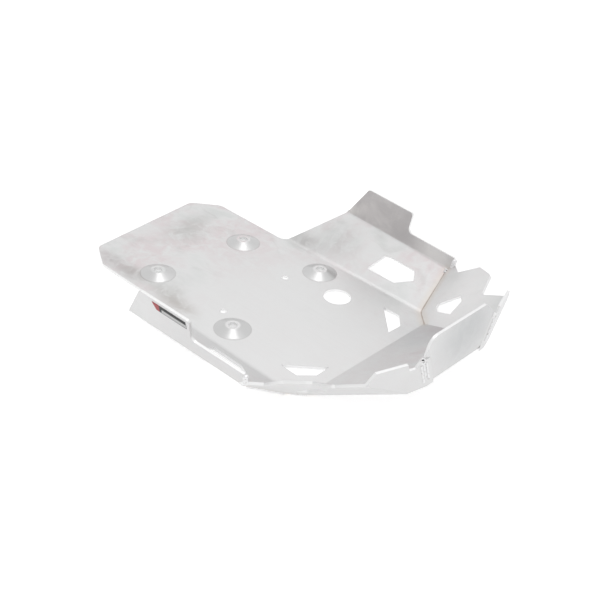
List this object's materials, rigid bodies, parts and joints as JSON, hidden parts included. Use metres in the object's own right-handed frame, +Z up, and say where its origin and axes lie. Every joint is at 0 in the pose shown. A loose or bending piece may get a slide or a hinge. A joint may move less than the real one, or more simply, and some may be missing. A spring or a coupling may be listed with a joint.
{
  "type": "motorcycle engine guard",
  "caption": "Folded sheet-metal skid plate for under a motorcycle engine, with upturned side flanges, ramped nose, front wall, wing plates, raised bolt dimples and cut-outs.",
  "frame": {"origin": "centre of the footprint of the bounding box, at the underside of the floor", "axes": "+X towards the front of the motorcycle, +Y to its left side, +Z up towards the engine"},
  "size_m": [0.4445, 0.3398, 0.0978],
  "materials": {
    "sheet": "mill finish, lightly stained",
    "wing_sheet": "mill finish",
    "weld": "fillet weld, rippled",
    "label": "printed film, blank"
  },
  "bodies": {
    "root": {"guard_plate": "sheet", "left_wing": "wing_sheet", "right_wing": "wing_sheet", "left_seam_weld": "weld", "right_seam_weld": "weld", "left_corner_weld": "weld", "right_corner_weld": "weld", "left_nose_weld": "weld", "right_nose_weld": "weld", "label": "label"}
  },
  "joints": []
}
